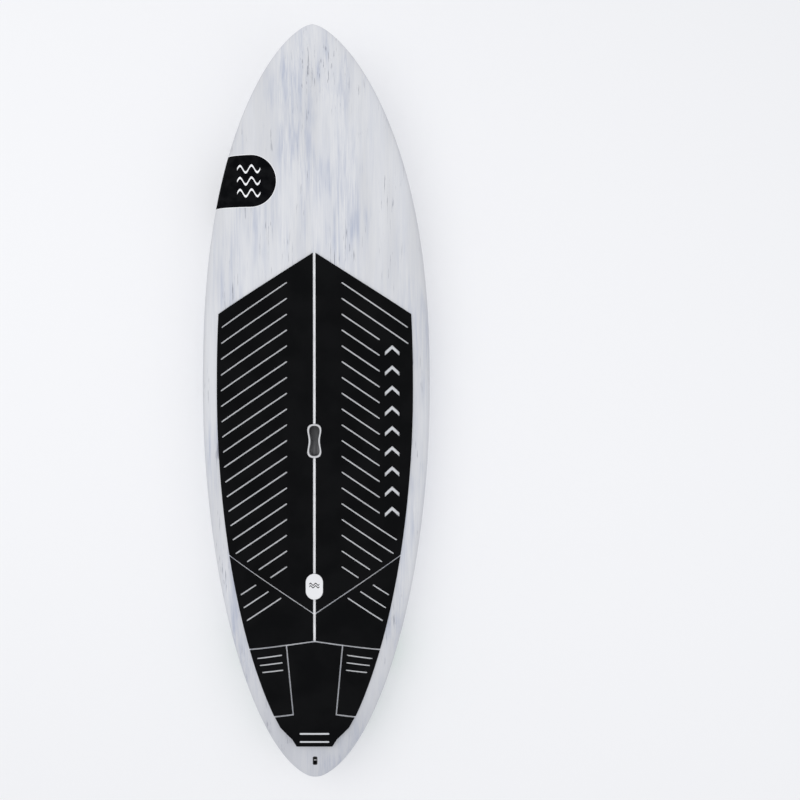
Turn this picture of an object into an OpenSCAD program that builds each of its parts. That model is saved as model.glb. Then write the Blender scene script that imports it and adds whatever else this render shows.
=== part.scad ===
// Stand-up paddle board for waves: a foam core in a hard skin, a glued seven-panel deck pad,
// a carry handle, a leash plug, a long centre fin box and four side fins in tab boxes.
// X runs across the board (starboard +), Y along it (nose +), Z up, deck upwards.

/* [Hull] */
// Length from nose tip to tail
hull_l = 2667; // [2250:1:3300]
// Greatest width
hull_w = 828; // [690:1:1000]
// Thickness at the thickest point
hull_t = 118; // [95:1:150]
// Distance of the wide point forward of the middle
wide_point = 56; // [-100:1:200]
// Height of the nose tip above the flat of the bottom
nose_rocker = 180; // [80:1:240]
// Height of the tail tip above the flat of the bottom
tail_rocker = 70; // [20:1:110]
// Thickness of the nose tip
nose_t = 14; // [14:1:30]
// Thickness of the tail tip
tail_t = 20; // [18:1:40]
// Thickness of the moulded skin
skin_t = 3; // [2:0.5:4]
// Thickness of the wooden stringer
stringer_t = 6; // [3:1:12]

/* [Deck pad] */
// Distance of the pad's side edge from the rail
pad_inset = 62; // [40:1:90]
// Pad nose point forward of the middle
pad_nose_y = 552; // [400:1:800]
// Centre of the joint between the main and the wedge panels, aft of the middle
pad_joint_y = -738; // [-800:1:-700]
// Centre of the joint between the wedge and the tail panels
pad_tail_y = -835; // [-880:1:-820]
// Aft edge of the kick panel
pad_end_y = -1211; // [-1225:1:-1195]
// Angle of the chevron edges and grooves
chevron_a = 34; // [25:1:40]
// Angle of the front edges
nose_a = 32.3; // [25:0.1:40]
// Gap between the port and starboard panels
pad_gap = 9.5; // [4:0.5:16]
// Gap between panels across the board
panel_gap = 5; // [2:0.5:10]
// Thickness of the pale lower layer
pad_base_t = 1.5; // [1:0.5:4]
// Thickness of the black upper layer
pad_top_t = 3; // [2:0.5:6]
// Extra height of the kick at the tail
kick_h = 12; // [0:1:25]
// Width of a groove in the black layer
groove_w = 5; // [3:0.5:8]
// Distance from groove to groove along the board
groove_pitch = 56.2; // [40:0.1:80]

/* [Handle] */
// Handle centre aft of the middle
handle_y = -120; // [-300:1:100]
// Length of the rim
handle_l = 120; // [110:1:160]
// Width of the rim at its ends
handle_w = 51; // [46:1:64]
// Width of the rim's sloping border
handle_rim = 7; // [5:0.5:9]
// Depth of the recess below the deck
handle_depth = 36; // [32:1:50]
// Wall of the cup
cup_wall = 2.5; // [2:0.5:4]
// Reach of the finger pocket under the deck towards the nose
pocket_reach = 16; // [12:1:25]

/* [Leash plug] */
// Plug centre forward of the tail tip
leash_from_tail = 64; // [55:1:110]
// Width of the plug
leash_w = 16.5; // [14:0.5:24]
// Length of the plug
leash_l = 30.5; // [26:0.5:40]
// Depth of the plug
leash_depth = 20; // [14:0.5:20]
// Diameter of the steel cross pin
leash_pin_d = 4; // [3:0.5:5]

/* [Centre fin box] */
// Centre of the slot forward of the tail tip
box_from_tail = 277; // [240:1:400]
// Length of the slot
slot_l = 255; // [200:1:275]
// Width of the slot
slot_w = 9.6; // [8:0.1:12]
// Depth of the slot
slot_depth = 24; // [18:1:26]
// Width of the opening in the middle of the slot
bulge_w = 19.8; // [16:0.1:24]
// Length of the opening in the middle of the slot
bulge_l = 26.8; // [20:0.1:40]
// Border of the slot that lies flush in the bottom
lip_w = 1.1; // [1:0.1:3]

/* [Side fins] */
// Rear fins: distance from the tail tip
rear_from_tail = 251; // [220:1:320]
// Rear fins: distance from the centre line
rear_x = 112; // [100:1:130]
// Rear fins: toe-in angle
rear_toe = 2; // [0:0.5:5]
// Front fins: distance from the tail tip
front_from_tail = 462; // [440:1:560]
// Front fins: distance from the rail
front_from_rail = 70.8; // [60:0.1:115]
// Front fins: toe-in angle
front_toe = 3.5; // [0:0.5:6]
// Cant of the fins outwards from the bottom
fin_cant = 6; // [0:0.5:10]
// Length of the fin's base
fin_base = 108; // [100:1:116]
// Depth of the fin
fin_depth = 115; // [90:1:140]
// Distance of the fin tip aft of the front of the base
fin_rake = 186; // [130:1:200]
// Thickness of the fin at its base
fin_t = 7; // [5:0.5:9]
// Length of a fin tab
tab_l = 24; // [20:0.5:28]
// Thickness of a fin tab
tab_t = 6; // [4:0.5:6.5]
// Depth of a fin tab
tab_depth = 14; // [10:0.5:16]
// Distance between tab centres
tab_pitch = 56; // [50:0.5:60]
// Diameter of a grub screw
screw_d = 4.8; // [4:0.1:5]
// Angle of a grub screw to the box's face
screw_a = 28; // [20:1:32]

/* [Fits] */
// Glue line between foam, skin and inserts
bond_gap = 0.2; // [0.1:0.05:0.4]
// Clearance around parts that come out
fit_gap = 0.3; // [0.2:0.05:0.5]

/* [Hidden] */

// Outline: fullness of the nose and the tail as powers of the distance from the wide point
nose_full = 2.44;
nose_point = 0.646;
tail_full = 1.95;
tail_round = 0.56;
tip_w = 4;

// Section: the deck is domed, the bottom flat with tucked rails
deck_power = 4;
bottom_power = 9;
bottom_tuck = 2.2;
// Height of the rail's edge as a share of the thickness, at the middle and its change to the ends
rail_mid = 0.38;
rail_nose_rise = 0.07;
rail_tail_drop = 0.16;

// Rocker and foil: where the flat of the bottom and the thickest point lie, and their curves
flat_y = -100;
thick_y = 50;
nose_rocker_power = 2.6;
tail_rocker_power = 2.2;
nose_foil_power = 2;
tail_foil_power = 2.8;

// Mesh of the hull: stations along it, segments across each side
stations = 34;
across = 14;
// Shift of the inner hull's ends for each millimetre of wall
end_inset = 3;

half_l = hull_l / 2;
half_max = hull_w / 2;
tail_tip = -half_l;

function clamp01(v) = min(1, max(0, v));
function fwd(y, from) = clamp01((y - from) / (half_l - from));
function aft(y, from) = clamp01((from - y) / (from + half_l));

// Half width, bottom height, thickness, rail and deck heights at y, with the flat at height 0
function half_w(y) = max(tip_w, half_max * (y >= wide_point
    ? pow(1 - pow(fwd(y, wide_point), nose_full), nose_point)
    : pow(1 - pow(aft(y, wide_point), tail_full), tail_round)));
function rocker(y) = nose_rocker * pow(fwd(y, flat_y), nose_rocker_power)
    + tail_rocker * pow(aft(y, flat_y), tail_rocker_power);
function thick(y) = hull_t - (hull_t - nose_t) * pow(fwd(y, thick_y), nose_foil_power)
    - (hull_t - tail_t) * pow(aft(y, thick_y), tail_foil_power);
function rail_share(y) = rail_mid + rail_nose_rise * pow(fwd(y, 0), 2) - rail_tail_drop * pow(aft(y, 0), 1.5);

// Shapes of the section: 0 at the rail, 1 on the centre line
function deck_curve(f) = sqrt(max(0, 1 - pow(abs(f), deck_power)));
function bottom_curve(f) = pow(max(0, 1 - pow(abs(f), bottom_power)), 1 / bottom_tuck);

// ---- Side fins: place, frame and shape ----
function unit(v) = v / norm(v);
// Into the board, square to the bottom at that place
function inward(x, y) = unit([
    -(raw_bottom(x + 1, y) - raw_bottom(x - 1, y)) / 2,
    -(raw_bottom(x, y + 1) - raw_bottom(x, y - 1)) / 2,
    1]);
function along(side, k, toe) = let (t = [-side * sin(toe), cos(toe), 0]) unit(t - (t * k) * k);
// Columns: outboard or inboard (X), forward (Y), into the board (Z), place
function frame_rows(side, x, y, toe, base) =
    let (k = inward(side * x, y))
    let (t = along(side, k, toe))
    let (b = cross(t, k))
    let (o = [side * x, y, base + raw_bottom(side * x, y)] + fit_gap * k)
    [[b[0], t[0], k[0], o[0]], [b[1], t[1], k[1], o[1]], [b[2], t[2], k[2], o[2]], [0, 0, 0, 1]];
module at_fin(side, x, y, toe) {
    multmatrix(frame_rows(side, x, y, toe, lift)) children();
}
front_y = tail_tip + front_from_tail;
front_x = half_w(front_y) - front_from_rail;
rear_y = tail_tip + rear_from_tail;

// Gap between the blade and the bottom, and the part of the outline used before it closes at the tip
blade_gap = 0.9;
tip_share = 0.985;
blade_steps = 8;
// Curves of the leading and the trailing edge
lead_power = 1.35;
lead_round = 0.55;
trail_power = 1.6;
// Stations from the leading to the trailing edge, thickness at an edge and thinning towards the tip
foil = [0, 0.1, 0.3, 0.6, 0.85, 1];
foil_edge = 0.08;
blade_taper = 0.72;
// Share of the thickness on the outer face
foil_outer = 0.75;
function lead(t) = fin_rake * (1 - pow(1 - pow(t * tip_share, lead_power), lead_round));
function trail(t) = fin_base + (fin_rake - fin_base) * pow(t * tip_share, trail_power);
// Thickest a third of the way back, where the product of both terms is the largest
function foil_t(s) = sqrt(s) * (1 - s) / (sqrt(1 / 3) * 2 / 3) + foil_edge;
function blade_t(t) = fin_t * (1 - blade_taper * t);
function blade_point(t, s, part) = [
    part * blade_t(t) * foil_t(s),
    fin_base / 2 - lead(t) - (trail(t) - lead(t)) * s,
    -blade_gap - (fin_depth - blade_gap) * t];
function blade_ring(t) = concat(
    [for (s = foil) blade_point(t, s, foil_outer)],
    [for (k = [len(foil) - 1:-1:0]) blade_point(t, foil[k], foil_outer - 1)]);
// From the tip up to the base
blade_rings = [for (k = [blade_steps:-1:0]) blade_ring(sin(90 * k / blade_steps))];

// The lowest fin tip stands at height 0
function canted(p, side) = let (c = -side * fin_cant)
    [p[0] * cos(c) + p[2] * sin(c), p[1], -p[0] * sin(c) + p[2] * cos(c)];
function lowest(x, y, toe) =
    let (m = frame_rows(1, x, y, toe, 0))
    min([for (r = blade_rings, p = r) let (q = canted(p, 1)) m[2][0] * q[0] + m[2][1] * q[1] + m[2][2] * q[2] + m[2][3]]);
lift = -min(lowest(front_x, front_y, front_toe), lowest(rear_x, rear_y, rear_toe));

// The same heights with the lowest fin tip at 0, drawn in by a wall of s
function low_z(y, s = 0) = lift + rocker(y) + s;
function high_z(y, s = 0) = lift + rocker(y) + thick(y) - s;
function rail_z(y, s = 0) = low_z(y, s) + rail_share(y) * (high_z(y, s) - low_z(y, s));
function deck_z(x, y) = rail_z(y) + (high_z(y) - rail_z(y)) * deck_curve(x / half_w(y));
function raw_bottom(x, y) = rocker(y) + rail_share(y) * thick(y) * (1 - bottom_curve(x / half_w(y)));
function bottom_z(x, y) = lift + raw_bottom(x, y);

function station_y(i) = -half_l * cos(180 * i / stations);
function share(j) = cos(180 * j / across);

function top_points(y, w, s) = [for (j = [0:across])
    [w * share(j), y, rail_z(y, s) + (high_z(y, s) - rail_z(y, s)) * deck_curve(share(j))]];
function under_points(y, w, s) = [for (j = [across:-1:0])
    [w * share(j), y, rail_z(y, s) - (rail_z(y, s) - low_z(y, s)) * bottom_curve(share(j))]];
function inner_y(i, s) = station_y(i) * (half_l - end_inset * s) / half_l;
function inner_w(i, s) = half_w(station_y(i)) * (half_max - s) / half_max;
function middle(p) = [for (j = [1:len(p) - 2]) p[j]];

// A closed skin of triangles over a row of rings with the same number of points
module loft(rings) {
    n = len(rings[0]);
    last = len(rings) - 1;
    polyhedron(
        points = [for (r = rings) each r],
        faces = concat(
            [for (i = [0:last - 1], j = [0:n - 1]) [i * n + j, (i + 1) * n + (j + 1) % n, (i + 1) * n + j]],
            [for (i = [0:last - 1], j = [0:n - 1]) [i * n + j, i * n + (j + 1) % n, (i + 1) * n + (j + 1) % n]],
            [[for (j = [n - 1:-1:0]) j]],
            [[for (j = [0:n - 1]) last * n + j]]),
        convexity = 6);
}
// One free-form solid
module free_form() {
    resize([0, 0, 0]) children();
}
module hull_solid(s = 0) {
    loft([for (i = [0:stations])
        concat(top_points(inner_y(i, s), inner_w(i, s), s), middle(under_points(inner_y(i, s), inner_w(i, s), s)))]);
}
module upper_half() {
    loft([for (i = [0:stations]) top_points(station_y(i), half_w(station_y(i)), 0)]);
}
module lower_half() {
    loft([for (i = [0:stations]) under_points(station_y(i), half_w(station_y(i)), 0)]);
}

// A layer that lies on the deck between two heights above it, with a kick that rises to the tail
function kick_rise(y, kick) = kick * clamp01((kick_start_y - y) / kick_run);
function layer_ring(y, bottom, top, kick) = concat(
    [for (j = [1:across - 1]) [half_w(y) * share(j), y, deck_z(half_w(y) * share(j), y) + top + kick_rise(y, kick)]],
    [for (j = [across - 1:-1:1]) [half_w(y) * share(j), y, deck_z(half_w(y) * share(j), y) + bottom]]);
module deck_layer(bottom, top, kick = 0) {
    loft([for (i = [2:stations - 2]) layer_ring(station_y(i), bottom, top, kick)]);
}

// ---- Deck pad: outlines of the starboard side ----
base_low = bond_gap;
base_high = base_low + pad_base_t;
top_low = base_high + bond_gap;
top_high = top_low + pad_top_t;
kick_start_y = pad_end_y + 110;
kick_run = 70;
tall = 2000;

badge_y = -639;
badge_w = 61;
badge_l = 92;
badge_gap = 1;

slope = tan(chevron_a);
nose_slope = tan(nose_a);
tail_slope = tan(8);
edge_steps = 12;
function pad_edge(y) = half_w(y) - pad_inset;
// Where a line that leaves the centre at y0 with this slope meets the pad's edge
function meets_edge(y0, s, rounds = 4, y = undef) =
    let (here = is_undef(y) ? y0 : y)
    rounds == 0 ? here : meets_edge(y0, s, rounds - 1, y0 + s * pad_edge(here));
// The edge line between two heights along the board, from nose to tail
function edge_line(y0, y1) = [for (k = [0:edge_steps]) let (y = y0 + (y1 - y0) * k / edge_steps) [pad_edge(y), y]];
shoulder_y = meets_edge(pad_nose_y, -nose_slope);
joint_edge_y = meets_edge(pad_joint_y, slope);
tail_edge_y = meets_edge(pad_tail_y, -tail_slope);
gap_x = pad_gap / 2;
gap_y = panel_gap / 2;
// The tail side panel stands between the pad edge and the kick's neck
neck_top_x = 100;
neck_low_x = 77;
neck_low_y = pad_end_y + 114;
side_low_y = neck_low_y - 10;
kick_inset = 4;
// Corners of the kick's aft edge: half width, distance from the pad's end
kick_corners = [[123, 66], [80, 26], [64, 0]];
kick_bar_l = 103;
kick_bar_w = 6;
kick_bar_first = 17;
kick_bar_pitch = 29;

module main_outline() {
    polygon(concat(
        [[gap_x, pad_joint_y + gap_y + slope * gap_x], [gap_x, pad_nose_y - nose_slope * gap_x]],
        edge_line(shoulder_y, joint_edge_y + gap_y)));
}
module wedge_outline() {
    polygon(concat(
        [[gap_x, pad_tail_y + gap_y - tail_slope * gap_x], [gap_x, pad_joint_y - gap_y + slope * gap_x]],
        edge_line(joint_edge_y - gap_y, tail_edge_y + gap_y)));
}
module tail_side_outline() {
    polygon(concat(
        [[neck_low_x + gap_y, neck_low_y], [neck_top_x + gap_y, pad_tail_y - gap_y - tail_slope * neck_top_x]],
        edge_line(tail_edge_y - gap_y, side_low_y)));
}
module kick_outline() {
    polygon(concat(
        [[0, pad_tail_y - gap_y], [neck_top_x - gap_y, pad_tail_y - gap_y - tail_slope * neck_top_x],
         [neck_low_x - gap_y, neck_low_y - panel_gap]],
        [[pad_edge(side_low_y) - kick_inset, side_low_y - panel_gap]],
        [for (c = kick_corners) [c[0], pad_end_y + c[1]]],
        [[0, pad_end_y]]));
}
module badge_outline(grow = 0) {
    translate([0, badge_y]) stadium(badge_w + 2 * grow, badge_l + 2 * grow);
}

// ---- Grooves cut through the black layer ----
// Main panel: inner end, margins to the pad's edge and to the wedge joint, first groove, number
groove_in_x = 99;
groove_edge = 17;
groove_joint = 26;
groove_first_y = pad_nose_y - 109;
groove_count = 19;
// Starboard grooves from this one to that one stop short and leave a plain strip
strip_first = 2;
strip_last = 13;
strip_x = 231;
// Wedge panel: outer end of the first groove, its distance below the joint line, reach, and their steps
wedge_out = [264, -11];
wedge_drop = [111, 46];
wedge_reach = [54, 34];
// Tail side panel: inner and outer end of the first groove below the tail joint, and their steps
side_in = [[118, -50], [-2, -27]];
side_out = [[204, -64], [-9, -25]];

module groove(a, b) {
    side = groove_w / 2 / cos(chevron_a);
    polygon([[a[0], a[1] - side], [a[0], a[1] + side], [b[0], b[1] + side], [b[0], b[1] - side]]);
}
// How far out a groove runs: short of the pad's edge and of the joint to the wedge panel
function groove_out(y) =
    let (edge = pad_edge(y - slope * (half_max - pad_inset - groove_in_x)) - groove_edge)
    let (joint = (y - pad_joint_y + slope * groove_in_x - groove_joint) / (2 * slope))
    min(edge, joint);
module main_grooves(short) {
    for (k = [0:groove_count - 1]) {
        y = groove_first_y - k * groove_pitch;
        out = (short && k >= strip_first && k <= strip_last) ? strip_x : groove_out(y);
        if (out > groove_in_x + groove_w)
            groove([groove_in_x, y], [out, y - slope * (out - groove_in_x)]);
    }
}
// Grooves of the wedge panel rise outwards, in line with its joint
module wedge_grooves() {
    for (k = [0:2]) {
        out = wedge_out[0] + wedge_out[1] * k;
        reach = wedge_reach[0] + wedge_reach[1] * k;
        top_y = pad_joint_y + slope * wedge_out[0] - wedge_drop[0] - wedge_drop[1] * k;
        groove([out, top_y], [out - reach, top_y + slope * reach]);
    }
}
module tail_side_grooves() {
    for (k = [0:2])
        groove([0, pad_tail_y] + side_in[0] + k * side_in[1], [0, pad_tail_y] + side_out[0] + k * side_out[1]);
}
module kick_bars() {
    for (k = [0, 1])
        translate([0, pad_end_y + kick_bar_first + kick_bar_pitch * k])
            square([kick_bar_l, kick_bar_w], center = true);
}

// ---- Handle ----
// The rim's underside stands this high on the deck, and its top is level with the pad
rim_seat = 0.6;
rim_clear = 1;
handle_z = deck_z(0, handle_y) + rim_seat;
rim_t = top_high - rim_seat;
waist_share = 0.22;
waist_reach = 0.38;
// Half width of the waisted outline, with t running from -1 to 1 along it
function waist(t) = 1 - waist_share * pow(cos(min(90, 90 * abs(t) / 2 / waist_reach)), 2);
// Rounding of the outline's ends
end_power = 7;
end_round = 0.4;
function handle_half(t, w, grow) = (w / 2 * waist(t) + grow) * pow(1 - pow(abs(t), end_power), end_round);
module handle_outline(grow = 0) {
    l = handle_l / 2 + grow;
    translate([0, handle_y])
        polygon(concat(
            [for (a = [-90:7.5:89]) [handle_half(sin(a), handle_w, grow), l * sin(a)]],
            [for (a = [90:-7.5:-89]) [-handle_half(sin(a), handle_w, grow), l * sin(a)]]));
}
// The finger pocket under the nose end of the rim
pocket_side = 3;
pocket_roof = 7;
pocket_w = handle_w - 2 * handle_rim - 2 * pocket_side;
pocket_top = handle_z - pocket_roof;
pocket_end_y = handle_y + handle_l / 2 - handle_rim + pocket_reach;
cup_floor_z = handle_z - handle_depth;
vent_z = (pocket_top + cup_floor_z) / 2;
vent_r = 6.5;
vent_flange_r = 9;
vent_flange_t = 2;
vent_len = 14;
vent_bore_r = 3.5;
vent_seat_y = 7;
vent_ledge_r = 2;
membrane_t = 0.8;
cap_r = 6;
cap_t = 3;
cap_shank = 5;

module handle_cavity() {
    translate([0, 0, cup_floor_z])
        linear_extrude(handle_depth + 20)
            handle_outline(-handle_rim);
    translate([-pocket_w / 2, handle_y, cup_floor_z])
        cube([pocket_w, pocket_end_y - handle_y, pocket_top - cup_floor_z]);
}
// The cup's body below the rim, grown by a clearance
module handle_body(grow = 0) {
    wall = cup_wall + grow;
    translate([0, 0, cup_floor_z - wall])
        linear_extrude(handle_z - cup_floor_z + wall + 0.01)
            handle_outline(-handle_rim + wall);
    translate([-pocket_w / 2 - wall, handle_y, cup_floor_z - wall])
        cube([pocket_w + 2 * wall, pocket_end_y - handle_y + wall, pocket_top - cup_floor_z + 2 * wall]);
}
module along_y(y, z) {
    translate([0, y, z]) rotate([-90, 0, 0]) children();
}
module vent_hole() {
    along_y(pocket_end_y - 1, vent_z) cylinder(r = vent_r + fit_gap, h = vent_len + 2, $fn = 48);
}

// ---- Leash plug ----
leash_y = tail_tip + leash_from_tail;
leash_slope = atan((deck_z(0, leash_y + 10) - deck_z(0, leash_y - 10)) / 20);
leash_wall = 2.8;
leash_pin_z = -6;
module rounded(w, l, r, fn = 32) {
    square([w - 2 * r, l], center = true);
    square([w, l - 2 * r], center = true);
    for (sx = [-1, 1], sy = [-1, 1])
        translate([sx * (w / 2 - r), sy * (l / 2 - r)]) circle(r = r, $fn = fn);
}
module at_leash() {
    translate([0, leash_y, deck_z(0, leash_y)]) rotate([leash_slope, 0, 0]) children();
}
module leash_body(grow = 0) {
    translate([0, 0, -leash_depth - grow])
        linear_extrude(leash_depth + 0.3 + 2 * grow)
            rounded(leash_w + 2 * grow, leash_l + 2 * grow, 5 + grow);
}

// ---- Centre fin box ----
box_y = tail_tip + box_from_tail;
box_end = slot_l / 2 + lip_w;
box_slope = atan((bottom_z(0, box_y + box_end) - bottom_z(0, box_y - box_end)) / (2 * box_end));
box_z = (bottom_z(0, box_y + box_end) + bottom_z(0, box_y - box_end)) / 2 + fit_gap;
box_body_w = 26;
box_body_over = 6;
box_floor_t = 2.5;
insert_low = skin_t + 1.2;
groove_z = 7;
groove_h = 4.5;
groove_depth = 3;
module at_box() {
    translate([0, box_y, box_z]) rotate([box_slope, 0, 0]) children();
}
// Pockets cut in foam and skin need fewer steps round their corners than the parts they hold
function arc_steps(grow) = grow > 0 ? 20 : 48;
module stadium(w, l, fn = 48) {
    square([w, l - w], center = true);
    for (sy = [-1, 1]) translate([0, sy * (l - w) / 2]) circle(d = w, $fn = fn);
}
module slot_outline(grow = 0, fn = 48) {
    stadium(slot_w + 2 * grow, slot_l + 2 * grow, fn);
    stadium(bulge_w + 2 * grow, bulge_l + 2 * grow, fn);
}
module centre_box_pocket(grow) {
    translate([0, 0, insert_low - grow])
        linear_extrude(slot_depth + box_floor_t - insert_low + 2 * grow)
            rounded(box_body_w + 2 * grow, slot_l + 2 * box_body_over + 2 * grow, 6, 16);
    translate([0, 0, -20])
        linear_extrude(20 + insert_low)
            slot_outline(lip_w + grow, 24);
}

// ---- Side fins: boxes and screws ----
fin_box_l = 132;
fin_box_w = 30;
fin_box_depth = 22;
slit_l = 118;
slit_w = 10;
front_open_l = 16;
front_open_w = 7;
front_open_depth = 8;
screw_off = 9.5;
screw_top = 0.8;
boss_r = 4.2;
boss_x = 8.6;
hex_d = 2.4;
hex_depth = 3;
screw_end = (screw_off - tab_t / 2 - fit_gap - screw_d / 2 * cos(screw_a))
    / (sin(screw_a) + cos(screw_a) * tan(fin_cant));

module cant(side) {
    rotate([0, -side * fin_cant, 0]) children();
}
module at_tabs() {
    for (sy = [-1, 1]) translate([0, sy * tab_pitch / 2, 0]) children();
}
module at_screws(side) {
    at_tabs() translate([-side * screw_off, 0, 0]) rotate([0, side * screw_a, 0]) children();
}
module fin_box_body(side, grow = 0) {
    translate([0, 0, insert_low - grow])
        linear_extrude(fin_box_depth - insert_low + 2 * grow)
            stadium(fin_box_w + 2 * grow, fin_box_l + 2 * grow, arc_steps(grow));
    translate([0, 0, grow > 0 ? -20 : 0])
        linear_extrude((grow > 0 ? 20 : 0) + insert_low)
            fin_lip(side, grow);
}
module fin_lip(side, grow = 0) {
    stadium(slit_w + 2 * grow, slit_l + 2 * grow, arc_steps(grow));
    for (sy = [-1, 1])
        translate([-side * boss_x, sy * tab_pitch / 2]) circle(r = boss_r + grow, $fn = arc_steps(grow));
}

// ---- High-density foam blocks: upright prisms between the skins ----
// Foam left round each insert: across and along the board, and the prisms' corner radius
handle_foam = [22, 30];
box_foam = [18, 15];
leash_foam = [14, 9];
fin_foam = 13;
foam_r = 20;
leash_foam_r = 10;
module prism(w, l, foam, r, grow) {
    rounded(w + 2 * foam[0] + 2 * grow, l + 2 * foam[1] + 2 * grow, r, 16);
}
module handle_prism(grow = 0) {
    translate([0, handle_y + pocket_reach / 2])
        prism(handle_w, handle_l + pocket_reach, handle_foam, foam_r, grow);
}
module box_prism(grow = 0) {
    translate([0, box_y]) prism(box_body_w, slot_l + 2 * box_body_over, box_foam, foam_r, grow);
}
module leash_prism(grow = 0) {
    translate([0, leash_y]) prism(leash_w, leash_l, leash_foam, leash_foam_r, grow);
}
module fin_prism(side, x, y, toe, grow = 0) {
    translate([side * x, y]) rotate(side * toe)
        stadium(fin_box_w + 2 * fin_foam + 2 * grow, fin_box_l + 2 * fin_foam + 2 * grow, 16);
}
module upright() {
    linear_extrude(tall, center = true) children();
}
module all_fin_prisms(grow) {
    for (side = [-1, 1]) {
        fin_prism(side, front_x, front_y, front_toe, grow);
        fin_prism(side, rear_x, rear_y, rear_toe, grow);
    }
}
module centre_prisms(grow) {
    handle_prism(grow);
    box_prism(grow);
    leash_prism(grow);
}
module core_hull() {
    hull_solid(skin_t + bond_gap);
}

// ---- Nodes: hull ----
module half_core(side) {
    color("whitesmoke") free_form() difference() {
        core_hull();
        translate([side > 0 ? -tall : -stringer_t / 2 - bond_gap, -tall, -tall])
            cube([tall + stringer_t / 2 + bond_gap, 2 * tall, 2 * tall]);
        upright() {
            centre_prisms(bond_gap);
            all_fin_prisms(bond_gap);
        }
    }
}
module core_port() {
    half_core(-1);
}
module core_starboard() {
    half_core(1);
}
module stringer() {
    color("burlywood") free_form() difference() {
        intersection() {
            core_hull();
            cube([stringer_t, 2 * tall, 2 * tall], center = true);
        }
        upright() centre_prisms(bond_gap);
    }
}
module deck_skin() {
    color("gainsboro") free_form() difference() {
        upper_half();
        hull_solid(skin_t);
        handle_body(fit_gap);
        at_leash() leash_body(fit_gap);
    }
}
module bottom_skin() {
    color("gainsboro") free_form() difference() {
        lower_half();
        hull_solid(skin_t);
        at_box() centre_box_pocket(fit_gap);
        for (side = [-1, 1]) {
            at_fin(side, front_x, front_y, front_toe) fin_box_body(side, fit_gap);
            at_fin(side, rear_x, rear_y, rear_toe) fin_box_body(side, fit_gap);
        }
    }
}

// ---- Nodes: foam blocks ----
module block() {
    color("khaki") free_form() difference() {
        intersection() {
            core_hull();
            upright() children(0);
        }
        children(1);
    }
}
module handle_block() {
    block() {
        handle_prism();
        union() {
            handle_body(fit_gap);
            vent_hole();
        }
    }
}
module centre_box_block() {
    block() {
        box_prism();
        at_box() centre_box_pocket(fit_gap);
    }
}
module leash_block() {
    block() {
        leash_prism();
        at_leash() leash_body(fit_gap);
    }
}
module fin_block(side, x, y, toe) {
    block() {
        fin_prism(side, x, y, toe);
        at_fin(side, x, y, toe) fin_box_body(side, fit_gap);
    }
}
module fin_block_front_port() {
    fin_block(-1, front_x, front_y, front_toe);
}
module fin_block_front_starboard() {
    fin_block(1, front_x, front_y, front_toe);
}
module fin_block_rear_port() {
    fin_block(-1, rear_x, rear_y, rear_toe);
}
module fin_block_rear_starboard() {
    fin_block(1, rear_x, rear_y, rear_toe);
}

// ---- Nodes: deck pad ----
module side_of(side) {
    if (side > 0)
        children();
    else
        mirror([1, 0]) children();
}
module inlay_cuts() {
    handle_outline(rim_clear);
    badge_outline(badge_gap);
}
module black_layer(kick = 0) {
    color([0.08, 0.08, 0.09]) free_form() intersection() {
        deck_layer(top_low, top_high, kick);
        linear_extrude(tall) children();
    }
}
module pale_layer() {
    color("lightgray") free_form() intersection() {
        deck_layer(base_low, base_high);
        linear_extrude(tall) children();
    }
}
module pad_main(side) {
    black_layer() difference() {
        side_of(side) main_outline();
        side_of(side) main_grooves(side > 0);
        inlay_cuts();
    }
}
module pad_wedge(side) {
    black_layer() side_of(side) difference() {
        wedge_outline();
        wedge_grooves();
    }
}
module pad_tail(side) {
    black_layer() side_of(side) difference() {
        tail_side_outline();
        tail_side_grooves();
    }
}
module kick_plan() {
    kick_outline();
    mirror([1, 0]) kick_outline();
}
module pad_main_port() {
    pad_main(-1);
}
module pad_main_starboard() {
    pad_main(1);
}
module pad_wedge_port() {
    pad_wedge(-1);
}
module pad_wedge_starboard() {
    pad_wedge(1);
}
module pad_tail_port() {
    pad_tail(-1);
}
module pad_tail_starboard() {
    pad_tail(1);
}
module pad_kick() {
    black_layer(kick_h) difference() {
        kick_plan();
        kick_bars();
    }
}
module base_main(side) {
    pale_layer() difference() {
        side_of(side) main_outline();
        inlay_cuts();
    }
}
module base_main_port() {
    base_main(-1);
}
module base_main_starboard() {
    base_main(1);
}
module base_wedge_port() {
    pale_layer() side_of(-1) wedge_outline();
}
module base_wedge_starboard() {
    pale_layer() wedge_outline();
}
module base_tail_port() {
    pale_layer() side_of(-1) tail_side_outline();
}
module base_tail_starboard() {
    pale_layer() tail_side_outline();
}
module base_kick() {
    pale_layer() kick_plan();
}
module badge_inlay() {
    color("white") free_form() intersection() {
        deck_layer(base_low, top_high);
        linear_extrude(tall) badge_outline();
    }
}

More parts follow.
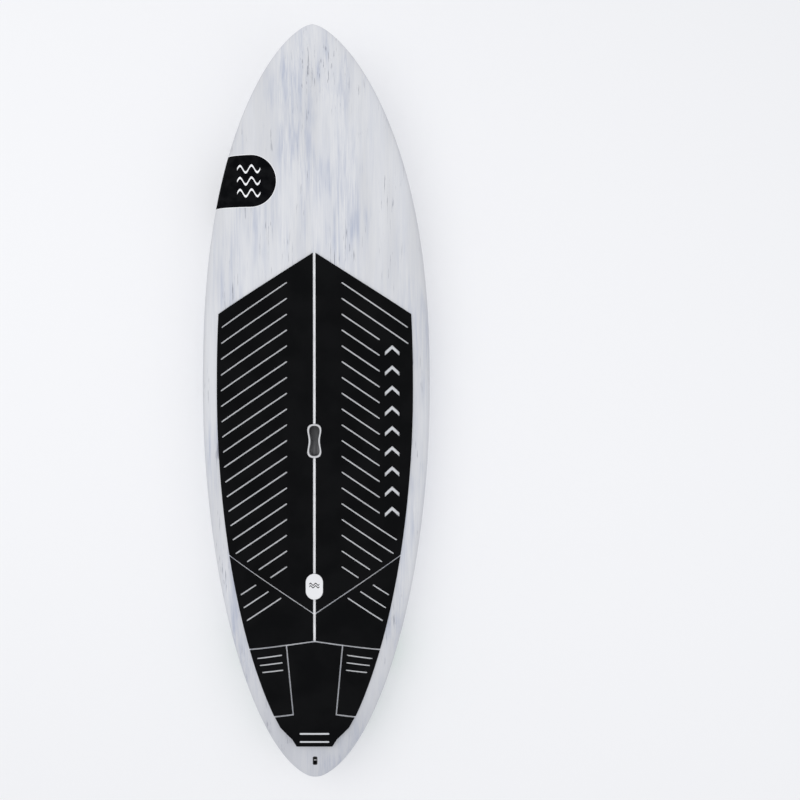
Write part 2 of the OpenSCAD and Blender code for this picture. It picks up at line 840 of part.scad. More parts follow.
// ---- Nodes: handle and vent ----
module handle_cup() {
    color("lightgray") difference() {
        union() {
            handle_body();
            translate([0, 0, handle_z]) linear_extrude(rim_t) handle_outline();
        }
        handle_cavity();
        along_y(pocket_end_y - 1, vent_z) cylinder(r = vent_r + fit_gap, h = cup_wall + 2, $fn = 48);
    }
}
module vent_body() {
    color("dimgray") along_y(pocket_end_y - vent_flange_t - bond_gap, vent_z) difference() {
        union() {
            cylinder(r = vent_flange_r, h = vent_flange_t, $fn = 48);
            cylinder(r = vent_r, h = vent_len, $fn = 48);
        }
        translate([0, 0, -1]) cylinder(r = vent_bore_r, h = vent_seat_y + 1, $fn = 32);
        cylinder(r = vent_ledge_r, h = vent_len + 1, $fn = 32);
        translate([0, 0, vent_seat_y + 2]) cylinder(r = vent_r - 1.5, h = vent_len, $fn = 32);
    }
}
module vent_membrane() {
    color("white") along_y(pocket_end_y - vent_flange_t - bond_gap, vent_z)
        translate([0, 0, vent_seat_y + 2 + bond_gap])
            cylinder(r = vent_r - 1.5 - bond_gap, h = membrane_t, $fn = 32);
}
module vent_cap() {
    color("dimgray") along_y(pocket_end_y - vent_flange_t - bond_gap - fit_gap, vent_z) difference() {
        union() {
            translate([0, 0, -cap_t]) cylinder(r = cap_r, h = cap_t, $fn = 48);
            translate([0, 0, -1]) cylinder(r = vent_bore_r - fit_gap, h = cap_shank + 1, $fn = 32);
        }
        translate([-0.9, -cap_r - 1, -cap_t - 1]) cube([1.8, 2 * cap_r + 2, 2.4]);
    }
}

// ---- Nodes: centre fin box and leash plug ----
module centre_fin_box() {
    color([0.1, 0.1, 0.11]) at_box() difference() {
        union() {
            translate([0, 0, insert_low])
                linear_extrude(slot_depth + box_floor_t - insert_low)
                    rounded(box_body_w, slot_l + 2 * box_body_over, 6);
            linear_extrude(insert_low + 1) slot_outline(lip_w);
        }
        translate([0, 0, -1]) linear_extrude(slot_depth + 1) slot_outline();
        translate([0, 0, groove_z])
            linear_extrude(groove_h)
                square([slot_w + 2 * groove_depth, slot_l - 12], center = true);
    }
}
module leash_cup() {
    color([0.1, 0.1, 0.11]) at_leash() difference() {
        leash_body();
        translate([0, 0, -leash_depth + leash_wall])
            linear_extrude(leash_depth)
                rounded(leash_w - 2 * leash_wall, leash_l - 2 * leash_wall, 3);
        translate([0, 0, leash_pin_z]) rotate([0, 90, 0])
            cylinder(d = leash_pin_d + 2 * bond_gap, h = leash_w - 2, center = true, $fn = 32);
    }
}
module leash_pin() {
    color("silver") at_leash() translate([0, 0, leash_pin_z]) rotate([0, 90, 0])
        cylinder(d = leash_pin_d, h = leash_w - 2 - 2 * bond_gap, center = true, $fn = 32);
}

// ---- Nodes: side fins ----
module tab_socket(side) {
    cant(side) at_tabs()
        translate([-tab_t / 2 - fit_gap, -tab_l / 2 - fit_gap, -4])
            cube([tab_t + 2 * fit_gap, tab_l + 2 * fit_gap, tab_depth + fit_gap + 4]);
}
module fin_box(side, x, y, toe) {
    color([0.1, 0.1, 0.11]) at_fin(side, x, y, toe) difference() {
        fin_box_body(side);
        tab_socket(side);
        translate([0, slit_l / 2 - front_open_l / 2 - 1, -1])
            linear_extrude(front_open_depth + 1)
                stadium(front_open_w, front_open_l);
        at_screws(side)
            translate([0, 0, -4]) cylinder(d = screw_d + 2 * bond_gap, h = screw_end + 4.5, $fn = 32);
    }
}
module screws(side, x, y, toe) {
    color("silver") at_fin(side, x, y, toe) at_screws(side) difference() {
        translate([0, 0, screw_top]) cylinder(d = screw_d, h = screw_end - screw_top, $fn = 32);
        translate([0, 0, screw_top - 1]) cylinder(d = hex_d, h = hex_depth + 1, $fn = 6);
    }
}
module fin(side, x, y, toe) {
    color("mediumseagreen") at_fin(side, x, y, toe) cant(side) free_form() {
        scale([side, 1, 1]) loft(blade_rings);
        at_tabs()
            translate([-tab_t / 2, -tab_l / 2, -blade_gap - 2])
                cube([tab_t, tab_l, tab_depth + blade_gap + 2]);
    }
}
module fin_box_front_port() {
    fin_box(-1, front_x, front_y, front_toe);
}
module fin_box_front_starboard() {
    fin_box(1, front_x, front_y, front_toe);
}
module fin_box_rear_port() {
    fin_box(-1, rear_x, rear_y, rear_toe);
}
module fin_box_rear_starboard() {
    fin_box(1, rear_x, rear_y, rear_toe);
}
module screws_front_port() {
    screws(-1, front_x, front_y, front_toe);
}
module screws_front_starboard() {
    screws(1, front_x, front_y, front_toe);
}
module screws_rear_port() {
    screws(-1, rear_x, rear_y, rear_toe);
}
module screws_rear_starboard() {
    screws(1, rear_x, rear_y, rear_toe);
}
module fin_front_port() {
    fin(-1, front_x, front_y, front_toe);
}
module fin_front_starboard() {
    fin(1, front_x, front_y, front_toe);
}
module fin_rear_port() {
    fin(-1, rear_x, rear_y, rear_toe);
}
module fin_rear_starboard() {
    fin(1, rear_x, rear_y, rear_toe);
}

core_port();
core_starboard();
stringer();
deck_skin();
bottom_skin();
handle_block();
centre_box_block();
leash_block();
fin_block_front_port();
fin_block_front_starboard();
fin_block_rear_port();
fin_block_rear_starboard();
pad_main_port();
pad_main_starboard();
pad_wedge_port();
pad_wedge_starboard();
pad_tail_port();
pad_tail_starboard();
pad_kick();
base_main_port();
base_main_starboard();
base_wedge_port();
base_wedge_starboard();
base_tail_port();
base_tail_starboard();
base_kick();
badge_inlay();
handle_cup();
vent_body();
vent_membrane();
vent_cap();
centre_fin_box();
leash_cup();
leash_pin();
fin_box_front_port();
fin_box_front_starboard();
fin_box_rear_port();
fin_box_rear_starboard();
screws_front_port();
screws_front_starboard();
screws_rear_port();
screws_rear_starboard();
fin_front_port();
fin_front_starboard();
fin_rear_port();
fin_rear_starboard();
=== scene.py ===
# Finish of the paddle board: skins, deck pad, handle, decals and fins round the construction.
# Metres; X across the board (starboard +), Y along it (nose +), Z up.
import math

import bpy
from mathutils import Matrix, Vector


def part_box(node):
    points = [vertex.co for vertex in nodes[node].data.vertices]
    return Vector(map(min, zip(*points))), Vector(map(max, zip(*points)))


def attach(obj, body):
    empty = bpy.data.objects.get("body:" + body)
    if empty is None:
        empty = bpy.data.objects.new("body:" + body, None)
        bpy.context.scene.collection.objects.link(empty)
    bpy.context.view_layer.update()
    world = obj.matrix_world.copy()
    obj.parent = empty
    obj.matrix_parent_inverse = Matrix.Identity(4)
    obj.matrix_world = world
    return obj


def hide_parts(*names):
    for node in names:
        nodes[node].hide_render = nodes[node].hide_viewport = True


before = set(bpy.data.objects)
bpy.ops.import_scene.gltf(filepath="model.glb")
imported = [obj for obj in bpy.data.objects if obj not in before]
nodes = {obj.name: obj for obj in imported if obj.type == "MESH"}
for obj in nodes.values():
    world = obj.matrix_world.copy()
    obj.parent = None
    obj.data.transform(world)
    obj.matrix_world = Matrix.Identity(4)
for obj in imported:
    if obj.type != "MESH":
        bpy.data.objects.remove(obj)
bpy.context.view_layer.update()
MM = 0.001

# ---- Camera: straight above the deck, nose up ----
camera_data = bpy.data.cameras.new("camera")
camera_data.lens = 36.96
camera_data.sensor_width = 36
camera = bpy.data.objects.new("camera", camera_data)
camera.location = (0.305, 0.026, 3.123)
bpy.context.scene.collection.objects.link(camera)
bpy.context.scene.camera = camera

# ---- Hull: outline, foil and rocker ----
skin_low, skin_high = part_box("bottom_skin")
HALF_L = skin_high.y
HALF_W = skin_high.x
TIP_W = 4 * MM
WIDE_Y = 56 * MM
NOSE_FULL, NOSE_POINT = 2.44, 0.646
TAIL_FULL, TAIL_ROUND = 1.95, 0.56
THICK, NOSE_T, TAIL_T = 118 * MM, 14 * MM, 20 * MM
THICK_Y, NOSE_FOIL, TAIL_FOIL = 50 * MM, 2, 2.8
FLAT_Y, NOSE_ROCKER, TAIL_ROCKER = -100 * MM, 180 * MM, 70 * MM
NOSE_BEND, TAIL_BEND = 2.6, 2.2
RAIL_MID, RAIL_NOSE, RAIL_TAIL = 0.38, 0.07, 0.16
DECK_POWER, BOTTOM_POWER, BOTTOM_TUCK = 4, 9, 2.2
SKIN_T = 3 * MM
END_ROUND = 9 * MM
LIFT = skin_low.z


def share_forward(y, start):
    return min(1, max(0, (y - start) / (HALF_L - start)))


def share_aft(y, start):
    return min(1, max(0, (start - y) / (start + HALF_L)))


def half_width(y):
    if y >= WIDE_Y:
        fullness = (1 - share_forward(y, WIDE_Y) ** NOSE_FULL) ** NOSE_POINT
    else:
        fullness = (1 - share_aft(y, WIDE_Y) ** TAIL_FULL) ** TAIL_ROUND
    return max(TIP_W, HALF_W * fullness)


def flat_z(y):
    nose = NOSE_ROCKER * share_forward(y, FLAT_Y) ** NOSE_BEND
    tail = TAIL_ROCKER * share_aft(y, FLAT_Y) ** TAIL_BEND
    return LIFT + nose + tail


def thickness(y):
    nose = (THICK - NOSE_T) * share_forward(y, THICK_Y) ** NOSE_FOIL
    tail = (THICK - TAIL_T) * share_aft(y, THICK_Y) ** TAIL_FOIL
    return THICK - nose - tail


def rail_z(y):
    share = RAIL_MID + RAIL_NOSE * share_forward(y, 0) ** 2 - RAIL_TAIL * share_aft(y, 0) ** 1.5
    return flat_z(y) + share * thickness(y)


def deck_z(x, y):
    across = min(1, abs(x) / half_width(y))
    return rail_z(y) + (flat_z(y) + thickness(y) - rail_z(y)) * math.sqrt(1 - across ** DECK_POWER)


def bottom_z(x, y):
    across = min(1, abs(x) / half_width(y))
    return rail_z(y) - (rail_z(y) - flat_z(y)) * (1 - across ** BOTTOM_POWER) ** (1 / BOTTOM_TUCK)


# ---- Modelling steps ----
def deselect():
    bpy.ops.object.select_all(action="DESELECT")


def only(obj):
    deselect()
    obj.select_set(True)
    bpy.context.view_layer.objects.active = obj


def in_edit_mode(obj, *steps):
    only(obj)
    bpy.ops.object.mode_set(mode="EDIT")
    bpy.ops.mesh.select_mode(type="VERT")
    bpy.ops.mesh.select_all(action="SELECT")
    for step in steps:
        step()
    bpy.ops.object.mode_set(mode="OBJECT")


def merge():
    bpy.ops.mesh.remove_doubles(threshold=1e-6)


def close_ends():
    bpy.ops.mesh.fill_holes(sides=0)
    bpy.ops.mesh.select_all(action="SELECT")


def face_outwards():
    bpy.ops.mesh.select_all(action="SELECT")
    bpy.ops.mesh.normals_make_consistent(inside=False)


def modify(obj, kind, **settings):
    only(obj)
    modifier = obj.modifiers.new(kind.lower(), kind)
    for key, value in settings.items():
        setattr(modifier, key, value)
    bpy.ops.object.modifier_apply(modifier=modifier.name)


def cut(obj, cutters, operation="DIFFERENCE"):
    for cutter in cutters:
        modify(obj, "BOOLEAN", operation=operation, object=cutter, solver="MANIFOLD")
        bpy.data.objects.remove(cutter)


def join(parts, name):
    deselect()
    for part in parts:
        part.select_set(True)
    bpy.context.view_layer.objects.active = parts[0]
    bpy.ops.object.join()
    parts[0].name = name
    return parts[0]


def smooth(obj, angle=35):
    only(obj)
    bpy.ops.object.shade_smooth_by_angle(angle=math.radians(angle))


def sheet_of(name, columns, rows, place):
    """A grid whose points are placed by a formula of two shares from 0 to 1; its UV map keeps the shares."""
    deselect()
    bpy.ops.mesh.primitive_grid_add(x_subdivisions=columns, y_subdivisions=rows, size=2)
    obj = bpy.context.object
    obj.name = name
    for vertex in obj.data.vertices:
        vertex.co = place((vertex.co.x + 1) / 2, (vertex.co.y + 1) / 2)
    return obj


def plate(name, outline, low, high, at=None):
    """A flat plate with this outline between two heights, in the frame given."""
    deselect()
    bpy.ops.mesh.primitive_circle_add(vertices=len(outline), radius=1, fill_type="NGON")
    obj = bpy.context.object
    obj.name = name
    for vertex, (x, y) in zip(obj.data.vertices, outline):
        vertex.co = (x, y, low)
    lift_up = {"value": (0, 0, high - low)}
    in_edit_mode(
        obj,
        lambda: bpy.ops.mesh.extrude_region_move(TRANSFORM_OT_translate=lift_up),
        face_outwards)
    if at:
        obj.data.transform(at)
    return obj


def arc(cx, cy, radius, start, end, steps):
    angles = [math.radians(start + (end - start) * k / steps) for k in range(steps + 1)]
    return [(cx + radius * math.cos(a), cy + radius * math.sin(a)) for a in angles]


def stadium(width, length, steps=16, centre=(0, 0)):
    reach = (length - width) / 2
    x, y = centre
    return arc(x, y + reach, width / 2, 0, 180, steps) + arc(x, y - reach, width / 2, 180, 360, steps)


def bar(a, b, width, steps=6):
    """A straight stroke from a to b with round ends."""
    turn = math.degrees(math.atan2(b[1] - a[1], b[0] - a[0]))
    r = width / 2
    return arc(b[0], b[1], r, turn - 90, turn + 90, steps) + arc(a[0], a[1], r, turn + 90, turn + 270, steps)


def rounded_box(width, length, radius, steps=8):
    x, y = width / 2 - radius, length / 2 - radius
    corners = ((x, y, 0), (-x, y, 90), (-x, -y, 180), (x, -y, 270))
    return [p for cx, cy, a in corners for p in arc(cx, cy, radius, a, a + 90, steps)]


def slice_up(obj, step_x, step_y):
    """Cuts the plate along regular lines, so that it can follow a curved surface."""
    low = Vector((min(v.co.x for v in obj.data.vertices), min(v.co.y for v in obj.data.vertices), 0))
    high = Vector((max(v.co.x for v in obj.data.vertices), max(v.co.y for v in obj.data.vertices), 0))

    def lines():
        for axis, step in ((0, step_x), (1, step_y)):
            normal = [0, 0, 0]
            normal[axis] = 1
            first = math.ceil(low[axis] / step + 0.01)
            last = math.floor(high[axis] / step - 0.01)
            for k in range(first, last + 1):
                point = [0, 0, 0]
                point[axis] = k * step
                bpy.ops.mesh.select_all(action="SELECT")
                bpy.ops.mesh.bisect(plane_co=point, plane_no=normal)
    in_edit_mode(obj, lines)


def drape(obj, surface, step_x=24 * MM, step_y=60 * MM, extra=None, under=False):
    """Lays a flat plate on the deck, or under the bottom; extra raises it further."""
    slice_up(obj, step_x, step_y)
    for vertex in obj.data.vertices:
        x, y, z = vertex.co
        rise = extra(y, z) if extra else 0
        vertex.co.z = surface(x, y) + (-z if under else z) + rise
    in_edit_mode(obj, face_outwards)
    return obj


# ---- Places that the construction gives ----
def frame_of(side, x, y, toe, base=0.3 * MM):
    """Outboard or inboard (X), forward (Y), into the board (Z) at a place on the bottom."""
    d = 1 * MM
    x = side * x
    slope_x = (bottom_z(x + d, y) - bottom_z(x - d, y)) / (2 * d)
    slope_y = (bottom_z(x, y + d) - bottom_z(x, y - d)) / (2 * d)
    into = Vector((-slope_x, -slope_y, 1)).normalized()
    ahead = Vector((-side * math.sin(math.radians(toe)), math.cos(math.radians(toe)), 0))
    ahead = (ahead - into * ahead.dot(into)).normalized()
    out = ahead.cross(into)
    origin = Vector((x, y, bottom_z(x, y))) + into * base
    rows = [(out[i], ahead[i], into[i], origin[i]) for i in range(3)]
    return Matrix((*rows, (0, 0, 0, 1)))


def tilted(y, z, slope):
    return Matrix.Translation((0, y, z)) @ Matrix.Rotation(slope, 4, "X")


TAIL = -HALF_L
FIT = 0.3 * MM
FRONT_Y, REAR_Y = TAIL + 462 * MM, TAIL + 251 * MM
FRONT_X, REAR_X = 224 * MM, 112 * MM
FIN_PLACES = {
    "front_port": (-1, FRONT_X, FRONT_Y, 3.5), "front_starboard": (1, FRONT_X, FRONT_Y, 3.5),
    "rear_port": (-1, REAR_X, REAR_Y, 2), "rear_starboard": (1, REAR_X, REAR_Y, 2),
}
FIN_CANT = 6
BOX_Y = TAIL + 277 * MM
BOX_HALF = 128.6 * MM
box_rise = bottom_z(0, BOX_Y + BOX_HALF) - bottom_z(0, BOX_Y - BOX_HALF)
box_mid = (bottom_z(0, BOX_Y + BOX_HALF) + bottom_z(0, BOX_Y - BOX_HALF)) / 2
at_slot = tilted(BOX_Y, box_mid + FIT, math.atan(box_rise / (2 * BOX_HALF)))
LEASH_Y = TAIL + 64 * MM
leash_rise = deck_z(0, LEASH_Y + 10 * MM) - deck_z(0, LEASH_Y - 10 * MM)
at_leash = tilted(LEASH_Y, deck_z(0, LEASH_Y), math.atan(leash_rise / (20 * MM)))

# ---- Handle ----
HANDLE_Y, HANDLE_L, HANDLE_W = -120 * MM, 120 * MM, 51 * MM
WAIST_SHARE, WAIST_REACH = 0.22, 0.38
rim_low = deck_z(0, HANDLE_Y) + 0.6 * MM
rim_top = deck_z(0, HANDLE_Y) + 4.9 * MM
cup_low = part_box("handle_cup")[0].z
cup_floor = cup_low + 2.5 * MM
HANDLE_STEPS = 96


def handle_point(turn, grow, scale=1):
    """A point of the waisted outline, at a share of the way round it."""
    angle = 2 * math.pi * turn
    along = math.sin(angle)
    waist = 1 - WAIST_SHARE * math.cos(min(math.pi / 2, math.pi / 4 * abs(along) / WAIST_REACH)) ** 2
    half = (HANDLE_W / 2 * waist + grow) * (1 - abs(along) ** 7) ** 0.4
    return half * math.copysign(1, math.cos(angle)) * scale, (HANDLE_L / 2 + grow) * along * scale


def handle_loops(name, profile):
    """A closed body over outlines of the handle: growth, scale and height of each."""
    rows = len(profile) - 1

    def place(a, b):
        grow, scale, z = profile[round(b * rows)]
        x, y = handle_point(a, grow, scale)
        return x, HANDLE_Y + y, z
    obj = sheet_of(name, HANDLE_STEPS, rows, place)
    in_edit_mode(obj, merge, close_ends, face_outwards)
    return obj


def block(name, low, high):
    outline = [(low[0], low[1]), (high[0], low[1]), (high[0], high[1]), (low[0], high[1])]
    return plate(name, outline, low[2], high[2])


def make_handle():
    body = -4.5 * MM
    top = rim_top
    cup = handle_loops("handle", [
        (body, 0, cup_low), (body - 1 * MM, 1, cup_low), (body, 1, cup_low + 1 * MM), (body, 1, rim_low),
        (-0.2 * MM, 1, rim_low), (0, 1, rim_low + 0.3 * MM), (0, 1, top - 1.1 * MM), (-0.3 * MM, 1, top - 0.45 * MM),
        (-0.9 * MM, 1, top - 0.1 * MM), (-1.6 * MM, 1, top), (-1.6 * MM, 0, top)])
    pocket_low = Vector((-15.5 * MM, HANDLE_Y, cup_floor))
    pocket_high = Vector((15.5 * MM, -51 * MM, rim_low - 7 * MM))
    wall = Vector((2.5, 2.5, 2.5)) * MM
    housing = block("housing", pocket_low - wall, pocket_high + wall)
    cut(cup, [housing], "UNION")
    depth = top - cup_floor
    bowl = handle_loops("bowl", [
        (-2.4 * MM, 0, top + 5 * MM), (-2.4 * MM, 1, top + 5 * MM), (-2.4 * MM, 1, top - 0.1 * MM),
        (-3.4 * MM, 1, top - 0.35 * MM), (-4.8 * MM, 1, top - 1.1 * MM), (-6 * MM, 1, top - 2.2 * MM),
        (-6.7 * MM, 1, top - 3.6 * MM), (-7 * MM, 1, top - 6 * MM), (-7 * MM, 1, top - 0.6 * depth),
        (-7.4 * MM, 1, top - 0.8 * depth), (-8.6 * MM, 1, top - 0.92 * depth),
        (-11 * MM, 1, top - 0.985 * depth), (-11 * MM, 0.7, top - depth), (-11 * MM, 0, top - depth)])
    pocket = block("pocket", pocket_low, pocket_high)
    vent_z = (pocket_high.z + cup_floor) / 2
    turned = Matrix.Translation((0, pocket_high.y - 1 * MM, vent_z)) @ Matrix.Rotation(-math.pi / 2, 4, "X")
    hole = plate("vent_hole", arc(0, 0, 6.8 * MM, 0, 352.5, 47), 0, 6 * MM, turned)
    cut(cup, [bowl, pocket, hole])
    smooth(cup, 40)
    return cup


# ---- Hull skins ----
ACROSS, ALONG = 72, 190


def station(share):
    return -HALF_L * math.cos(math.pi * share)


def end_scale(y):
    """Rounds the last few millimetres of nose and tail down to a point."""
    over = (abs(y) - (HALF_L - END_ROUND)) / END_ROUND
    return math.sqrt(1 - min(1, over) ** 2) if over > 0 else 1


def skin_point(surface, a, b):
    y = station(b)
    scale = end_scale(y)
    across = math.sin(math.pi * (a - 0.5))
    z = surface(half_width(y) * across, y)
    return half_width(y) * across * scale, y, rail_z(y) + (z - rail_z(y)) * scale


def lip_cutters(grow):
    """Openings in the bottom for the fin boxes and the long slot."""
    cutters = []
    for place, (side, x, y, toe) in FIN_PLACES.items():
        at = frame_of(side, x, y, toe)
        lip = plate("lip", stadium(10 * MM + 2 * grow, 118 * MM + 2 * grow), -20 * MM, 4.2 * MM, at)
        for along in (-28 * MM, 28 * MM):
            boss = arc(-side * 8.6 * MM, along, 4.2 * MM + grow, 0, 348.75, 31)
            cut(lip, [plate("boss", boss, -20 * MM, 4.2 * MM, at)], "UNION")
        cutters.append(lip)
    slot = plate("slot", stadium(11.8 * MM + 2 * grow, 257.2 * MM + 2 * grow), -20 * MM, 4.2 * MM, at_slot)
    bulge = stadium(22 * MM + 2 * grow, 29 * MM + 2 * grow)
    cut(slot, [plate("bulge", bulge, -20 * MM, 4.2 * MM, at_slot)], "UNION")
    return cutters + [slot]


def make_skin(name, surface, cutters):
    skin = sheet_of(name, ACROSS, ALONG, lambda a, b: skin_point(surface, a, b))
    in_edit_mode(skin, merge)
    if skin.data.polygons[len(skin.data.polygons) // 2].normal.z * (1 if surface is deck_z else -1) < 0:
        in_edit_mode(skin, bpy.ops.mesh.flip_normals)
    modify(skin, "SOLIDIFY", thickness=SKIN_T, offset=-1)
    in_edit_mode(skin, face_outwards)
    cut(skin, cutters)
    smooth(skin)
    return skin


def make_deck():
    handle_hole = handle_loops("handle_hole", [
        (-4.2 * MM, 0, rim_low - 25 * MM), (-4.2 * MM, 1, rim_low - 25 * MM),
        (-4.2 * MM, 1, rim_top + 20 * MM), (-4.2 * MM, 0, rim_top + 20 * MM)])
    plug = rounded_box(17.1 * MM, 31.1 * MM, 5.3 * MM)
    plug_hole = plate("plug_hole", plug, -20 * MM, 10 * MM, at_leash)
    return make_skin("deck", deck_z, [handle_hole, plug_hole])


# ---- Deck pad ----
PAD_INSET = 62 * MM
PAD_GAP, PANEL_GAP = 9.5 * MM, 5 * MM
NOSE_Y, JOINT_Y, TAIL_JOINT_Y, PAD_END = 552 * MM, -738 * MM, -835 * MM, -1211 * MM
BASE_LOW, BASE_HIGH = 0.2 * MM, 1.7 * MM
TOP_LOW, TOP_HIGH = 1.9 * MM, 4.9 * MM
KICK_H, KICK_Y, KICK_RUN = 12 * MM, PAD_END + 110 * MM, 70 * MM
SLOPE, NOSE_SLOPE, TAIL_SLOPE = (math.tan(math.radians(a)) for a in (34, 32.3, 8))
BADGE_Y, BADGE_W, BADGE_L = -639 * MM, 61 * MM, 92 * MM
NECK_TOP, NECK_LOW, NECK_LOW_Y = 100 * MM, 77 * MM, PAD_END + 114 * MM
KICK_CORNERS = ((123, 66), (80, 26), (64, 0))
EDGE_STEPS = 40
GROOVE_W, GROOVE_PITCH, GROOVE_IN = 5 * MM, 56.2 * MM, 99 * MM


def pad_edge(y):
    return half_width(y) - PAD_INSET


def meets_edge(start, slope):
    y = start
    for _ in range(4):
        y = start + slope * pad_edge(y)
    return y


def edge_line(first, last):
    span = [first + (last - first) * k / EDGE_STEPS for k in range(EDGE_STEPS + 1)]
    return [(pad_edge(y), y) for y in span]


def main_outline():
    gap = PAD_GAP / 2
    inner = [(gap, JOINT_Y + PANEL_GAP / 2 + SLOPE * gap), (gap, NOSE_Y - NOSE_SLOPE * gap)]
    return inner + edge_line(meets_edge(NOSE_Y, -NOSE_SLOPE), meets_edge(JOINT_Y, SLOPE) + PANEL_GAP / 2)


def wedge_outline():
    gap = PAD_GAP / 2
    inner = [(gap, TAIL_JOINT_Y + PANEL_GAP / 2 - TAIL_SLOPE * gap), (gap, JOINT_Y - PANEL_GAP / 2 + SLOPE * gap)]
    last = meets_edge(TAIL_JOINT_Y, -TAIL_SLOPE) + PANEL_GAP / 2
    return inner + edge_line(meets_edge(JOINT_Y, SLOPE) - PANEL_GAP / 2, last)


def side_outline():
    gap = PANEL_GAP / 2
    inner = [(NECK_LOW + gap, NECK_LOW_Y), (NECK_TOP + gap, TAIL_JOINT_Y - gap - TAIL_SLOPE * NECK_TOP)]
    return inner + edge_line(meets_edge(TAIL_JOINT_Y, -TAIL_SLOPE) - gap, NECK_LOW_Y - 10 * MM)


def kick_outline():
    gap = PANEL_GAP / 2
    low_y = NECK_LOW_Y - 10 * MM
    half = [(NECK_TOP - gap, TAIL_JOINT_Y - gap - TAIL_SLOPE * NECK_TOP), (NECK_LOW - gap, NECK_LOW_Y - PANEL_GAP),
            (pad_edge(low_y) - 4 * MM, low_y - PANEL_GAP)]
    half += [(x * MM, PAD_END + y * MM) for x, y in KICK_CORNERS]
    return [(0, TAIL_JOINT_Y - gap)] + half + [(-x, y) for x, y in reversed(half)]


def groove_out(y):
    edge = pad_edge(y - SLOPE * (HALF_W - PAD_INSET - GROOVE_IN)) - 17 * MM
    joint = (y - JOINT_Y + SLOPE * GROOVE_IN - 26 * MM) / (2 * SLOPE)
    return min(edge, joint)


def main_grooves(short):
    bars = []
    for k in range(19):
        y = NOSE_Y - 109 * MM - k * GROOVE_PITCH
        out = 231 * MM if short and 2 <= k <= 13 else groove_out(y)
        if out > GROOVE_IN + GROOVE_W:
            bars.append(bar((GROOVE_IN, y), (out, y - SLOPE * (out - GROOVE_IN)), GROOVE_W))
    return bars


def wedge_grooves():
    bars = []
    for k in range(3):
        out, reach = (264 - 11 * k) * MM, (54 + 34 * k) * MM
        y = JOINT_Y + SLOPE * 264 * MM - (111 + 46 * k) * MM
        bars.append(bar((out, y), (out - reach, y + SLOPE * reach), GROOVE_W))
    return bars


def side_grooves():
    starts = [(118 - 2 * k, -50 - 27 * k, 204 - 9 * k, -64 - 25 * k) for k in range(3)]
    return [bar((a * MM, TAIL_JOINT_Y + b * MM), (c * MM, TAIL_JOINT_Y + d * MM), GROOVE_W) for a, b, c, d in starts]


def kick_bars():
    return [bar((-50 * MM, PAD_END + (17 + 29 * k) * MM), (50 * MM, PAD_END + (17 + 29 * k) * MM), 6 * MM)
            for k in range(2)]


def strip_chevrons():
    """A plain row of arrowheads along the starboard edge, beyond the short grooves."""
    shapes = []
    for k in range(9):
        y = 222 * MM - 72 * MM * k
        shapes.append([(251 * MM, y - 24 * MM), (277 * MM, y), (303 * MM, y - 24 * MM),
                       (303 * MM, y - 38 * MM), (277 * MM, y - 14 * MM), (251 * MM, y - 38 * MM)])
    return shapes


def mirrored(outline, side):
    return [(x * side, y) for x, y in outline]


def kick_rise(y, z):
    """The kick tail swells upwards; its underside stays on the deck."""
    share = min(1, max(0, (z - TOP_LOW) / (TOP_HIGH - TOP_LOW)))
    return KICK_H * min(1, max(0, (KICK_Y - y) / KICK_RUN)) * share


def bar_rise(y, z):
    return KICK_H * min(1, max(0, (KICK_Y - y) / KICK_RUN)) if z > TOP_LOW + 0.4 * MM else 0


def inlay_holes():
    rim = [handle_point(k / HANDLE_STEPS, 1 * MM) for k in range(HANDLE_STEPS)]
    rim = [(x, HANDLE_Y + y) for x, y in rim]
    return [rim, stadium(BADGE_W + 2 * MM, BADGE_L + 2 * MM, centre=(0, BADGE_Y))]


def make_panel(name, outline, holes, low, high, extra=None):
    panel = plate(name, outline, low, high)
    cut(panel, [plate("cutter", hole, low - 5 * MM, high + 5 * MM) for hole in holes])
    modify(panel, "BEVEL", width=0.5 * MM, segments=2, limit_method="ANGLE", angle_limit=math.radians(60))
    drape(panel, deck_z, extra=extra)
    smooth(panel, 40)
    return panel


def make_pads():
    pads = {}
    for side, hand in ((-1, "port"), (1, "starboard")):
        grooves = [mirrored(g, side) for g in main_grooves(side > 0)]
        arrows = strip_chevrons() if side > 0 else []
        kinds = {
            "main": (main_outline(), inlay_holes() + grooves + arrows, inlay_holes()),
            "wedge": (wedge_outline(), [mirrored(g, side) for g in wedge_grooves()], []),
            "tail": (side_outline(), [mirrored(g, side) for g in side_grooves()], []),
        }
        for kind, (outline, top_holes, base_holes) in kinds.items():
            outline = mirrored(outline, side)
            name = f"{kind}_{hand}"
            pads[f"pad_{name}"] = make_panel(f"deck_pad_{name}", outline, top_holes, TOP_LOW, TOP_HIGH)
            pads[f"base_{name}"] = make_panel(f"pale_layer_{name}", outline, base_holes, BASE_LOW, BASE_HIGH)
    pads["pad_kick"] = make_panel("deck_pad_kick", kick_outline(), kick_bars(), TOP_LOW, TOP_HIGH, kick_rise)
    pads["base_kick"] = make_panel("pale_layer_kick", kick_outline(), [], BASE_LOW, BASE_HIGH)
    badge = stadium(BADGE_W, BADGE_L, centre=(0, BADGE_Y))
    pads["badge_inlay"] = make_panel("badge", badge, [], BASE_LOW, TOP_HIGH)
    return pads


